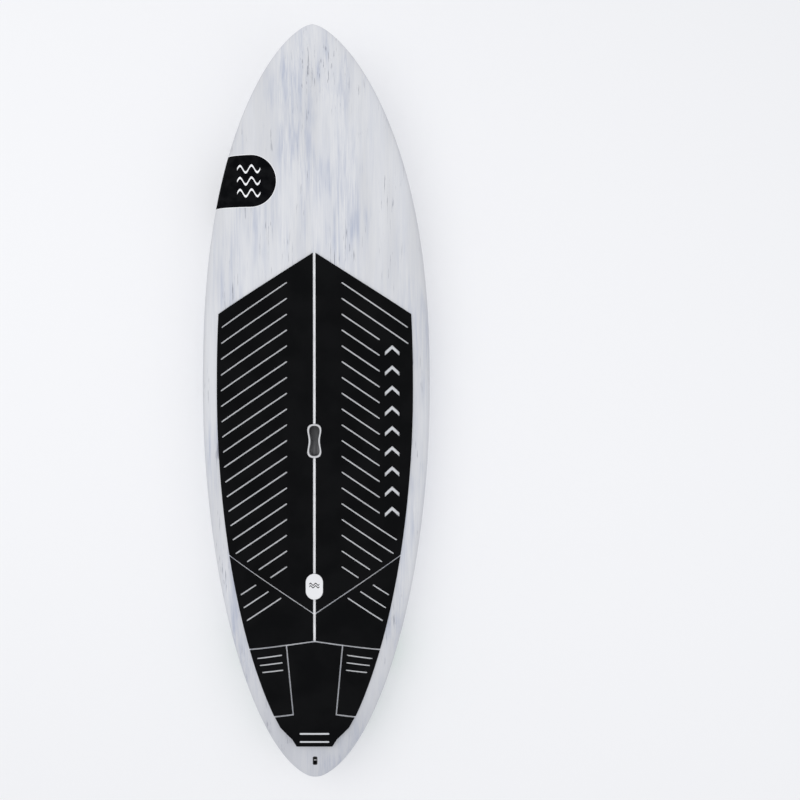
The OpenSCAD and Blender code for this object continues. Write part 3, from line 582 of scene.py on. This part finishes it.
def make_pad_trim():
    """White strip in the middle gap and pale bars in the kick tail."""
    strips = []
    for low, high in ((-831, -687), (-591, -182), (-58, 549)):
        outline = [(-4.4 * MM, low * MM), (4.4 * MM, low * MM), (4.4 * MM, high * MM), (-4.4 * MM, high * MM)]
        strips.append(plate("strip", outline, 0.1 * MM, 1.2 * MM))
    strip = drape(join(strips, "centre_strip"), deck_z)
    bars = []
    for k in range(2):
        y = PAD_END + (17 + 29 * k) * MM
        bars.append(plate("bar", bar((-50 * MM, y), (50 * MM, y), 5.8 * MM), TOP_LOW, TOP_LOW + 1.6 * MM))
    return [strip, drape(join(bars, "kick_bars"), deck_z, extra=bar_rise)]


# ---- Decals: thin films on the skins ----
FILM = 0.15 * MM
PATCH_Y, PATCH_HALF, PATCH_IN = 803 * MM, 91 * MM, -134 * MM
PATCH_WAVE_X, PATCH_WAVE_PITCH = -232 * MM, 42 * MM
CARE_Y, SEAL_Y = -668 * MM, -805 * MM


def rail_patch(name, grow, rise):
    """A round-ended band that wraps the port rail from the deck to the bottom."""
    radius = PATCH_HALF + grow
    centre_x = PATCH_IN - PATCH_HALF

    def place(a, b):
        angle = math.pi * (b - 0.5)
        y = PATCH_Y + radius * math.sin(angle)
        inner = centre_x + radius * math.cos(angle)
        width = half_width(y)
        start = math.acos(min(1, -inner / width))
        turn = start * (1 - 2 * a)
        x = -width * math.cos(turn)
        surface = deck_z if turn >= 0 else bottom_z
        point = Vector((x, y, surface(x, y)))
        middle = Vector((x * 0.5, y, rail_z(y)))
        steep = Vector((x - middle.x, 0, 2.5 * (point.z - middle.z))).normalized()
        return point + steep * rise
    patch = sheet_of(name, 64, 64, place)
    in_edit_mode(patch, merge, face_outwards)
    modify(patch, "SOLIDIFY", thickness=0.1 * MM, offset=0)
    in_edit_mode(patch, face_outwards)
    smooth(patch)
    return patch


def wave_line(width, stroke, centre, steps=40, height=7 * MM, turns=2):
    x0, y0 = centre
    upper, lower = [], []
    for k in range(steps + 1):
        x = -width / 2 + width * k / steps
        y = height * math.sin(2 * math.pi * turns * k / steps)
        upper.append((x0 + x, y0 + y + stroke / 2))
        lower.append((x0 + x, y0 + y - stroke / 2))
    return upper[::-1] + lower


def film(name, shapes, surface, under, low=0.05 * MM, high=FILM):
    obj = join([plate("film", shape, low, high) for shape in shapes], name)
    drape(obj, surface, 20 * MM, 20 * MM, under=under)
    smooth(obj)
    return obj


def ring(name, outer, inner, surface, under, low=0.05 * MM, high=FILM):
    """A flat band between two outlines."""
    obj = plate(name, outer, low, high)
    cut(obj, [plate("inner", inner, low - 1 * MM, high + 1 * MM)])
    drape(obj, surface, 20 * MM, 20 * MM, under=under)
    smooth(obj)
    return obj


def make_decals():
    dark, light = [], []
    light.append(rail_patch("patch_border", 2.2 * MM, 0.15 * MM))
    dark.append(rail_patch("patch", 0, 0.3 * MM))
    for surface, under, place in ((deck_z, False, "deck"), (bottom_z, True, "bottom")):
        waves = [wave_line(84 * MM, 8 * MM, (PATCH_WAVE_X, PATCH_Y + step * PATCH_WAVE_PITCH), height=12 * MM)
                 for step in (-1, 0, 1)]
        light.append(film(f"patch_waves_{place}", waves, surface, under, 0.3 * MM, 0.6 * MM))
    dark.append(ring("care_outline", stadium(58 * MM, 121 * MM, 24, (0, CARE_Y)),
                     stadium(55.4 * MM, 118.4 * MM, 24, (0, CARE_Y)), bottom_z, True))
    dark.append(ring("care_ring", arc(0, -640 * MM, 8 * MM, 0, 352.5, 47),
                     arc(0, -640 * MM, 5 * MM, 0, 352.5, 47), bottom_z, True))
    dark.append(film("care_marks", [arc(0, CARE_Y, 8 * MM, 0, 352.5, 47),
                                    bar((-9 * MM, -696 * MM), (9 * MM, -696 * MM), 6 * MM)], bottom_z, True))
    dark.append(ring("seal_outer", arc(0, SEAL_Y, 46.5 * MM, 0, 356.25, 95),
                     arc(0, SEAL_Y, 44.5 * MM, 0, 356.25, 95), bottom_z, True))
    dark.append(ring("seal_inner", arc(0, SEAL_Y, 30 * MM, 0, 356.25, 95),
                     arc(0, SEAL_Y, 28.5 * MM, 0, 356.25, 95), bottom_z, True))
    band = arc(0, SEAL_Y, 42.5 * MM, 12, 168, 48) + arc(0, SEAL_Y, 32 * MM, 168, 12, 48)
    waves = [wave_line(38 * MM, 3.5 * MM, (0, SEAL_Y + step * 10 * MM), height=3 * MM) for step in (-1, 0, 1)]
    dark.append(film("seal_marks", [band] + waves, bottom_z, True))
    rows = []
    for k in range(8):
        y = -240 * MM - 45 * MM * k
        rows.append([(-16 * MM, y - 14 * MM), (0, y), (16 * MM, y - 14 * MM),
                     (16 * MM, y - 22 * MM), (0, y - 8 * MM), (-16 * MM, y - 22 * MM)])
    dark.append(film("bottom_arrows", rows, bottom_z, True))
    dark.append(film("tail_line", [bar((-30 * MM, -1204 * MM), (30 * MM, -1204 * MM), 1.4 * MM)], bottom_z, True))
    badge_waves = [wave_line(36 * MM, 4 * MM, (0, BADGE_Y + step * 9 * MM), height=3.5 * MM) for step in (0, 1)]
    dark.append(film("badge_waves", badge_waves, deck_z, False, 4.85 * MM, 5.0 * MM))
    return dark, light


# ---- Side fins ----
FIN_BASE, FIN_DEPTH, FIN_RAKE, FIN_T = 108 * MM, 115 * MM, 186 * MM, 7 * MM
BLADE_GAP = 0.9 * MM
TAB_T, TAB_L, TAB_DEPTH, TAB_PITCH = 6 * MM, 24 * MM, 14 * MM, 56 * MM
CHORD_STEPS, SPAN_STEPS = 56, 30


def fin_lead(t):
    return FIN_RAKE * (1 - (1 - (t * 0.985) ** 1.35) ** 0.55)


def fin_trail(t):
    return FIN_BASE + (FIN_RAKE - FIN_BASE) * (t * 0.985) ** 1.6


def fin_point(a, b, side):
    """a runs round the section from the leading edge, b from the base to the tip."""
    t = math.sin(math.pi / 2 * b)
    outer = a <= 0.5
    s = (1 - math.cos(2 * math.pi * a)) / 2
    profile = 2.598 * math.sqrt(s) * (1 - s) + 0.04 * math.sqrt(4 * s * (1 - s))
    half = FIN_T * (1 - 0.72 * t) * profile * (0.75 if outer else -0.25)
    y = FIN_BASE / 2 - fin_lead(t) - (fin_trail(t) - fin_lead(t)) * s
    return side * half, y, -BLADE_GAP - (FIN_DEPTH - BLADE_GAP) * t


def make_fin(place):
    side, x, y, toe = FIN_PLACES[place]
    fin = sheet_of(f"fin_{place}_blade", CHORD_STEPS, SPAN_STEPS, lambda a, b: fin_point(a, b, side))
    in_edit_mode(fin, merge, close_ends, face_outwards)
    tabs = []
    for along in (-TAB_PITCH / 2, TAB_PITCH / 2):
        outline = [(px, py + along) for px, py in rounded_box(TAB_T, TAB_L, 1 * MM, 4)]
        tabs.append(plate("tab", outline, -BLADE_GAP - 2 * MM, TAB_DEPTH))
    cut(fin, tabs, "UNION")
    cant = Matrix.Rotation(math.radians(-side * FIN_CANT), 4, "Y")
    fin.data.transform(frame_of(side, x, y, toe) @ cant)
    smooth(fin, 40)
    return fin


# ---- Materials ----
class Finish:
    """A node material with short calls for the patterns used here."""

    def __init__(self, name, roughness, **sockets):
        self.material = bpy.data.materials.new(name)
        self.material.use_nodes = True
        self.tree = self.material.node_tree
        self.shader = self.tree.nodes["Principled BSDF"]
        self.shader.inputs["Roughness"].default_value = roughness
        for key, value in sockets.items():
            self.shader.inputs[key.replace("_", " ")].default_value = value

    def node(self, kind, **settings):
        node = self.tree.nodes.new(kind)
        for key, value in settings.items():
            setattr(node, key, value)
        return node

    def link(self, source, target):
        self.tree.links.new(source, target)

    def place(self, scale, space="Object"):
        coords = self.node("ShaderNodeTexCoord")
        mapping = self.node("ShaderNodeMapping")
        mapping.inputs["Scale"].default_value = scale
        self.link(coords.outputs[space], mapping.inputs["Vector"])
        return mapping.outputs["Vector"]

    def noise(self, scale, detail=3.0, rough=0.5, stretch=(1, 1, 1), distortion=0.0):
        node = self.node("ShaderNodeTexNoise")
        node.inputs["Scale"].default_value = scale
        node.inputs["Detail"].default_value = detail
        node.inputs["Roughness"].default_value = rough
        node.inputs["Distortion"].default_value = distortion
        self.link(self.place(stretch), node.inputs["Vector"])
        return node.outputs["Fac"]

    def ramp(self, value, low, high, out_low=0.0, out_high=1.0):
        node = self.node("ShaderNodeMapRange", interpolation_type="SMOOTHSTEP")
        for key, number in zip(("From Min", "From Max", "To Min", "To Max"), (low, high, out_low, out_high)):
            node.inputs[key].default_value = number
        self.link(value, node.inputs["Value"])
        return node.outputs["Result"]

    def maths(self, operation, a, b):
        node = self.node("ShaderNodeMath", operation=operation)
        for socket, value in zip(node.inputs, (a, b)):
            if isinstance(value, (int, float)):
                socket.default_value = value
            else:
                self.link(value, socket)
        return node.outputs["Value"]

    def mix(self, factor, a, b):
        node = self.node("ShaderNodeMix", data_type="RGBA")
        sockets = [s for s in node.inputs if s.enabled]
        for socket, value in zip(sockets, (factor, a, b)):
            if isinstance(value, (int, float, tuple)):
                socket.default_value = value if not isinstance(value, tuple) else (*value, 1)
            else:
                self.link(value, socket)
        return [s for s in node.outputs if s.enabled][0]

    def colour(self, source):
        socket = self.shader.inputs["Base Color"]
        if isinstance(source, tuple):
            socket.default_value = (*source, 1)
        else:
            self.link(source, socket)

    def bump(self, height, distance, strength=1.0):
        node = self.node("ShaderNodeBump")
        node.inputs["Strength"].default_value = strength
        node.inputs["Distance"].default_value = distance
        self.link(height, node.inputs["Height"])
        self.link(node.outputs["Normal"], self.shader.inputs["Normal"])

    def axis(self, name):
        coords = self.node("ShaderNodeTexCoord")
        split = self.node("ShaderNodeSeparateXYZ")
        self.link(coords.outputs["Object"], split.inputs["Vector"])
        return split.outputs[name]


def brushed_paint(name):
    """White paint brushed along the board over blue-grey with dark strokes; greyer towards the tail, with painted
    shade darkening it near the rails.
    """
    f = Finish(name, 0.42, Specular_IOR_Level=0.3)
    white, grey, cool, dark = (0.72, 0.725, 0.74), (0.58, 0.585, 0.60), (0.40, 0.44, 0.55), (0.09, 0.10, 0.15)
    cloud = f.noise(1, 3, 0.6, (5.5, 1.8, 5.5), 0.3)
    patches = f.ramp(cloud, 0.45, 0.66)
    broad = f.ramp(f.noise(1, 3, 0.6, (42, 2.2, 30)), 0.42, 0.68)
    fine = f.ramp(f.noise(1, 4, 0.65, (190, 4.5, 90)), 0.42, 0.62)
    hair = f.ramp(f.noise(1, 3, 0.6, (480, 9, 200)), 0.44, 0.64)
    lines = f.maths("ADD", f.maths("MULTIPLY", fine, 0.5), f.maths("MULTIPLY", hair, 0.35))
    streak = f.maths("MULTIPLY", f.maths("ADD", broad, lines), f.ramp(patches, 0, 1, 0.14, 0.50))
    base = f.mix(f.ramp(f.noise(1, 3, 0.5, (12, 1.6, 12)), 0.38, 0.66, 0.0, 0.5), white, grey)
    brushed = f.mix(f.maths("MINIMUM", streak, 0.85), base, cool)
    stroke = f.ramp(f.noise(1, 3, 0.55, (210, 9, 120), 0.3), 0.60, 0.69)
    where = f.ramp(f.noise(1, 2, 0.5, (13, 4, 13)), 0.50, 0.62)
    strokes = f.maths("MULTIPLY", f.maths("MULTIPLY", stroke, where), 0.62)
    painted = f.mix(strokes, brushed, dark)
    # Darker grey towards the tail.
    aft = f.ramp(f.axis("Y"), -0.60, -1.22, 0.0, 0.42)
    darker_aft = f.mix(aft, painted, (0.42, 0.43, 0.47))
    # Painted shade: the colour turns darker grey towards each rail, where the surface rolls away from the light.
    coords = f.node("ShaderNodeTexCoord")
    split = f.node("ShaderNodeSeparateXYZ")
    f.link(coords.outputs["UV"], split.inputs["Vector"])
    from_middle = f.maths("ABSOLUTE", f.maths("SUBTRACT", split.outputs["X"], 0.5), 0)
    rail = f.ramp(from_middle, 0.40, 0.5, 0.0, 0.5)
    f.colour(f.mix(rail, darker_aft, (0.40, 0.41, 0.44)))
    f.bump(f.noise(1, 2, 0.5, (220, 5, 120)), 0.0002, 0.25)
    return f.material


def handle_with_painted_shade(name):
    """Grey plastic: pale rim, slightly streaked inside the recess, which is coloured darker as painted shade,
    deepest towards the nose.
    """
    f = Finish(name, 0.4, Specular_IOR_Level=0.3)
    # Painted shade: everything below the rim edge is coloured much darker than the rim.
    depth = f.ramp(f.axis("Z"), rim_top - 3.4 * MM, rim_top - 0.8 * MM)
    # Painted shadow of the nose-end wall: the recess is coloured darker towards the nose.
    painted_nose_shade = f.ramp(f.axis("Y"), HANDLE_Y - 30 * MM, HANDLE_Y + 55 * MM, 0.0, 0.75)
    streaks = f.ramp(f.noise(1, 3, 0.5, (160, 12, 60)), 0.35, 0.65)
    inside = f.mix(painted_nose_shade, f.mix(streaks, (0.20, 0.20, 0.205), (0.11, 0.11, 0.115)), (0.05, 0.05, 0.052))
    f.colour(f.mix(depth, inside, (0.62, 0.62, 0.63)))
    f.bump(f.noise(700, 2), 0.00015, 0.3)
    return f.material


def pad_foam(name, colour, pale, scale=1.0):
    """Closed-cell foam: fine pores and a slightly uneven tone."""
    f = Finish(name, 0.9, Specular_IOR_Level=0.04)
    tone = f.ramp(f.noise(9, 3), 0.35, 0.65)
    speck = f.ramp(f.noise(900, 2, 0.6), 0.35, 0.7)
    both = f.maths("MULTIPLY", f.maths("ADD", tone, speck), 0.5)
    f.colour(f.mix(both, colour, pale))
    f.bump(f.noise(1400 * scale, 3, 0.6), 0.0003, 0.5)
    return f.material


def moulded(name, colour, roughness, variation=0.12, grain=700, **sockets):
    """Moulded plastic with a faint grain and a little tone."""
    f = Finish(name, roughness, **sockets)
    lighter = tuple(min(1, c * (1 + variation) + 0.004) for c in colour)
    f.colour(f.mix(f.ramp(f.noise(30, 3), 0.35, 0.65), colour, lighter))
    f.bump(f.noise(grain, 2), 0.00015, 0.3)
    return f.material


def bead_foam(name, colour):
    f = Finish(name, 0.9)
    cells = f.node("ShaderNodeTexVoronoi", feature="DISTANCE_TO_EDGE")
    cells.inputs["Scale"].default_value = 280
    f.link(f.place((1, 1, 1)), cells.inputs["Vector"])
    edge = f.ramp(cells.outputs["Distance"], 0.0, 0.12)
    f.colour(f.mix(edge, tuple(c * 0.8 for c in colour), colour))
    f.bump(edge, 0.0004, 0.5)
    return f.material


def wood(name):
    f = Finish(name, 0.6)
    grain = f.noise(1, 5, 0.6, (300, 6, 220), 1.5)
    f.colour(f.mix(f.ramp(grain, 0.35, 0.65), (0.50, 0.33, 0.17), (0.30, 0.17, 0.08)))
    f.bump(grain, 0.0003, 0.4)
    return f.material


def brushed_metal(name, colour, roughness):
    f = Finish(name, roughness, Metallic=1.0)
    f.colour(f.mix(f.noise(1, 3, 0.5, (60, 900, 900)), colour, tuple(c * 0.8 for c in colour)))
    f.bump(f.noise(1, 2, 0.5, (80, 1600, 1600)), 0.0001, 0.2)
    return f.material


def tinted_fin(name):
    """Clear green resin: deeper in the thick middle, pale at the edges and the tip."""
    f = Finish(name, 0.16, Specular_IOR_Level=0.5, Transmission_Weight=0.25, IOR=1.45)
    coords = f.node("ShaderNodeTexCoord")
    split = f.node("ShaderNodeSeparateXYZ")
    f.link(coords.outputs["UV"], split.inputs["Vector"])
    half = f.maths("PINGPONG", split.outputs["X"], 0.5)
    to_edge = f.maths("PINGPONG", half, 0.25)
    thin = f.ramp(to_edge, 0.085, 0.0)
    tip = f.ramp(split.outputs["Y"], 0.78, 1.0, 0.0, 0.8)
    pale = f.maths("MAXIMUM", f.maths("MULTIPLY", thin, 0.7), tip)
    tone = f.mix(f.ramp(f.noise(14, 2), 0.35, 0.65), (0.012, 0.46, 0.15), (0.016, 0.50, 0.17))
    f.colour(f.mix(pale, tone, (0.35, 0.78, 0.52)))
    f.bump(f.noise(500, 2), 0.0001, 0.15)
    return f.material


def dress(obj, material, slot=None, body=None):
    obj.data.materials.clear()
    obj.data.materials.append(material)
    if body:
        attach(obj, body)


paint_deck = brushed_paint("brushed_white_deck")
paint_bottom = brushed_paint("brushed_white_bottom")
black_foam = pad_foam("black_pad_foam", (0.0030, 0.0032, 0.0036), (0.0065, 0.0067, 0.0072))
pale_foam = pad_foam("pale_pad_foam", (0.66, 0.67, 0.69), (0.74, 0.75, 0.77))
white_foam = pad_foam("white_badge_foam", (0.78, 0.78, 0.79), (0.84, 0.84, 0.85))
handle_plastic = handle_with_painted_shade("handle_plastic")
vent_plastic = moulded("vent_plastic", (0.03, 0.03, 0.033), 0.4)
black_plastic = moulded("black_plastic", (0.006, 0.006, 0.007), 0.35)
white_plastic = moulded("white_plastic", (0.60, 0.61, 0.62), 0.35)
core_foam = bead_foam("core_foam", (0.82, 0.83, 0.84))
dense_foam = bead_foam("dense_foam", (0.75, 0.66, 0.38))
membrane_cloth = moulded("membrane_cloth", (0.8, 0.8, 0.8), 0.9, grain=3000)
stringer_wood = wood("stringer_wood")
steel = brushed_metal("brushed_steel", (0.62, 0.62, 0.63), 0.3)
dark_steel = brushed_metal("dark_steel", (0.05, 0.05, 0.055), 0.35)
fin_resin = tinted_fin("fin_resin")
black_film = moulded("black_film", (0.0012, 0.0014, 0.0022), 0.6, grain=300, Specular_IOR_Level=0.03)
white_film = moulded("white_film", (0.82, 0.82, 0.83), 0.4, grain=300)

# ---- Pieces in place of plain nodes ----
deck = make_deck()
dress(deck, paint_deck, "deck_skin", "board")
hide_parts("deck_skin")
bottom = make_skin("bottom", bottom_z, lip_cutters(FIT))
dress(bottom, paint_bottom, "bottom_skin", "board")
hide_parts("bottom_skin")
PAD_LOOKS = {"pad": (black_foam, "pad_black"), "base": (pale_foam, "pad_pale"), "badge": (white_foam, "badge_white")}
for node, panel in make_pads().items():
    material, slot = PAD_LOOKS[node.split("_")[0]]
    dress(panel, material, slot, "board")
    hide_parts(node)
for piece in make_pad_trim():
    dress(piece, white_film if piece.name == "centre_strip" else pale_foam, "pad_pale", "board")
handle = make_handle()
dress(handle, handle_plastic, "handle_grey", "board")
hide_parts("handle_cup")
dark_films, light_films = make_decals()
for piece in dark_films:
    dress(piece, black_film, "box_black", "board")
for piece in light_films:
    dress(piece, white_film, "badge_white", "board")
for place in FIN_PLACES:
    fin = make_fin(place)
    dress(fin, fin_resin, "fin_green", f"fin_{place}")
    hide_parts(f"fin_{place}")

# ---- Nodes that stay as they are ----
NODE_LOOKS = (
    ("core_", core_foam), ("stringer", stringer_wood), ("handle_block", dense_foam),
    ("centre_box_block", dense_foam), ("leash_block", dense_foam), ("fin_block", dense_foam),
    ("vent_membrane", membrane_cloth), ("vent_", vent_plastic), ("centre_fin_box", black_plastic),
    ("leash_cup", black_plastic), ("leash_pin", steel), ("fin_box", white_plastic), ("screws", dark_steel),
)
for name, obj in nodes.items():
    for start, material in NODE_LOOKS:
        if name.startswith(start):
            dress(obj, material)
            break

# ---- Studio: pale floor, soft light ----
deselect()
bpy.ops.mesh.primitive_grid_add(x_subdivisions=8, y_subdivisions=8, size=60)
floor = bpy.context.object
floor.name = "floor"
floor_look = Finish("floor_paint", 0.9, Specular_IOR_Level=0.0)
floor_look.colour((0.915, 0.915, 0.92))
geometry = floor_look.node("ShaderNodeNewGeometry")
path = floor_look.node("ShaderNodeLightPath")
clear = floor_look.node("ShaderNodeBsdfTransparent")
either = floor_look.maths("MAXIMUM", geometry.outputs["Backfacing"], path.outputs["Is Shadow Ray"])
blend = floor_look.node("ShaderNodeMixShader")
output = floor_look.tree.nodes["Material Output"]
floor_look.link(either, blend.inputs["Fac"])
floor_look.link(floor_look.shader.outputs["BSDF"], blend.inputs[1])
floor_look.link(clear.outputs["BSDF"], blend.inputs[2])
floor_look.link(blend.outputs["Shader"], output.inputs["Surface"])
floor.data.materials.append(floor_look.material)

world = bpy.data.worlds.new("studio")
bpy.context.scene.world = world
world.use_nodes = True
sky = world.node_tree.nodes["Background"]
sky.inputs["Color"].default_value = (0.96, 0.97, 1, 1)
sky.inputs["Strength"].default_value = 0.82
seen = world.node_tree.nodes.new("ShaderNodeBackground")
seen.inputs["Color"].default_value = (0.915, 0.915, 0.92, 1)
sky_path = world.node_tree.nodes.new("ShaderNodeLightPath")
sky_mix = world.node_tree.nodes.new("ShaderNodeMixShader")
world.node_tree.links.new(sky_path.outputs["Is Camera Ray"], sky_mix.inputs["Fac"])
world.node_tree.links.new(sky.outputs["Background"], sky_mix.inputs[1])
world.node_tree.links.new(seen.outputs["Background"], sky_mix.inputs[2])
world.node_tree.links.new(sky_mix.outputs["Shader"], world.node_tree.nodes["World Output"].inputs["Surface"])


def lamp(name, location, size, power):
    data = bpy.data.lights.new(name, "AREA")
    data.shape = "RECTANGLE"
    data.size, data.size_y = size
    data.energy = power
    obj = bpy.data.objects.new(name, data)
    obj.location = location
    obj.rotation_mode = "QUATERNION"
    obj.rotation_quaternion = (Vector((0, 0, 0.15)) - Vector(location)).to_track_quat("-Z", "Y")
    bpy.context.scene.collection.objects.link(obj)


lamp("key", (-1.8, 0.8, 4.2), (3.5, 4.5), 44)
lamp("fill", (2.4, -0.6, 3.8), (3.0, 4.5), 20)
lamp("under", (0.8, 0.2, -4.0), (4.0, 5.0), 120)

bpy.context.scene.view_settings.view_transform = "Standard"
